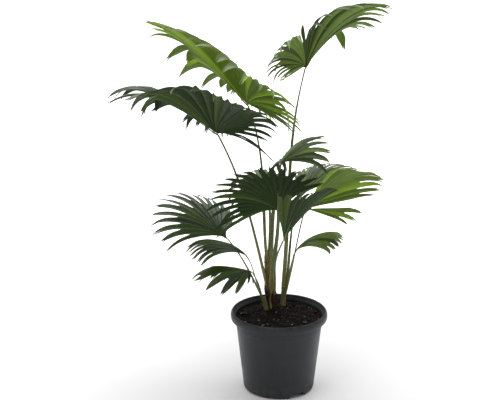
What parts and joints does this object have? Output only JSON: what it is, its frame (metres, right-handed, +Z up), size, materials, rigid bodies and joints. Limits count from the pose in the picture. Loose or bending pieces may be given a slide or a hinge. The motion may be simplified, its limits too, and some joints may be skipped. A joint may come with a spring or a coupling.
{
  "type": "potted footstool palm",
  "caption": "Young fan palm with pleated, drooping fronds on slender stalks, with a seedling on either side, in a round nursery pot with a rolled rim.",
  "frame": {"origin": "centre of the pot's flat underside", "axes": "+Z up, the picture is taken from -Y, +X to the right in the picture"},
  "size_m": [0.704, 0.6583, 0.9603],
  "materials": {
    "pot": "satin",
    "potting_mix": "rough",
    "stem": "fibrous",
    "stalk": "satin",
    "blade": "satin"
  },
  "bodies": {
    "root": {"pot": "pot", "pot_base": "pot", "potting_mix": "potting_mix", "trunk": "stem", "stem_left": "stem", "stem_right": "stem", "stalk_top_right": "stalk", "stalk_top_left": "stalk", "stalk_upper_left": "stalk", "stalk_upper_middle": "stalk", "stalk_back_right": "stalk", "stalk_right": "stalk", "stalk_centre": "stalk", "stalk_front": "stalk", "stalk_middle_left": "stalk", "stalk_low_left": "stalk", "stalk_inner_left": "stalk", "stalk_low_right": "stalk", "stalk_back": "stalk", "frond_top_right": "blade", "frond_top_left": "blade", "frond_upper_left": "blade", "frond_upper_middle": "blade", "frond_back_right": "blade", "frond_right": "blade", "frond_centre": "blade", "frond_front": "blade", "frond_middle_left": "blade", "frond_low_left": "blade", "frond_inner_left": "blade", "frond_low_right": "blade", "frond_back": "blade"}
  },
  "joints": []
}
